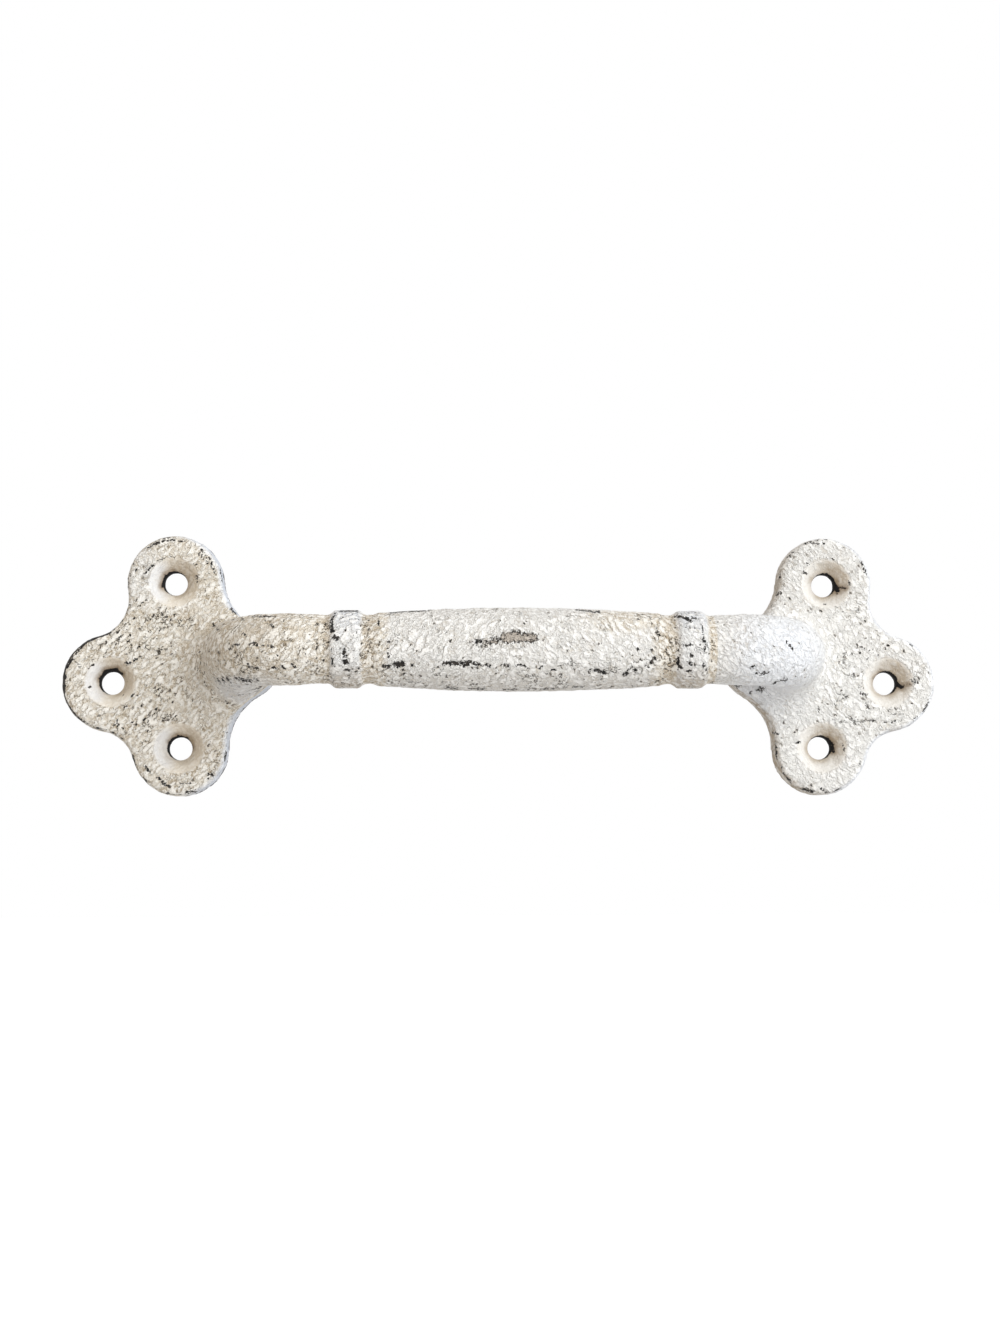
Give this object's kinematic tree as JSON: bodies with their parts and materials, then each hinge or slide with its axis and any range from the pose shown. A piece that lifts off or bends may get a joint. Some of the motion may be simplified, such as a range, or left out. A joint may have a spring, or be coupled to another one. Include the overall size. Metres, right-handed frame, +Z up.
{
  "type": "drawer pull",
  "caption": "Cast drawer pull: a barrel grip between collars, on bent arms that flare into lobed end plates with countersunk screw holes, in worn off-white paint.",
  "frame": {"origin": "midway between the two outer screw holes, on the plane that the backs of both end plates seat on", "axes": "+X along the grip, to the right as seen from the front; +Y into the drawer front, along the screws; +Z up on the drawer front"},
  "size_m": [0.178, 0.0379, 0.0531],
  "materials": {
    "distressed_paint": "matte"
  },
  "bodies": {
    "root": {"drawer_pull": "distressed_paint"}
  },
  "joints": []
}
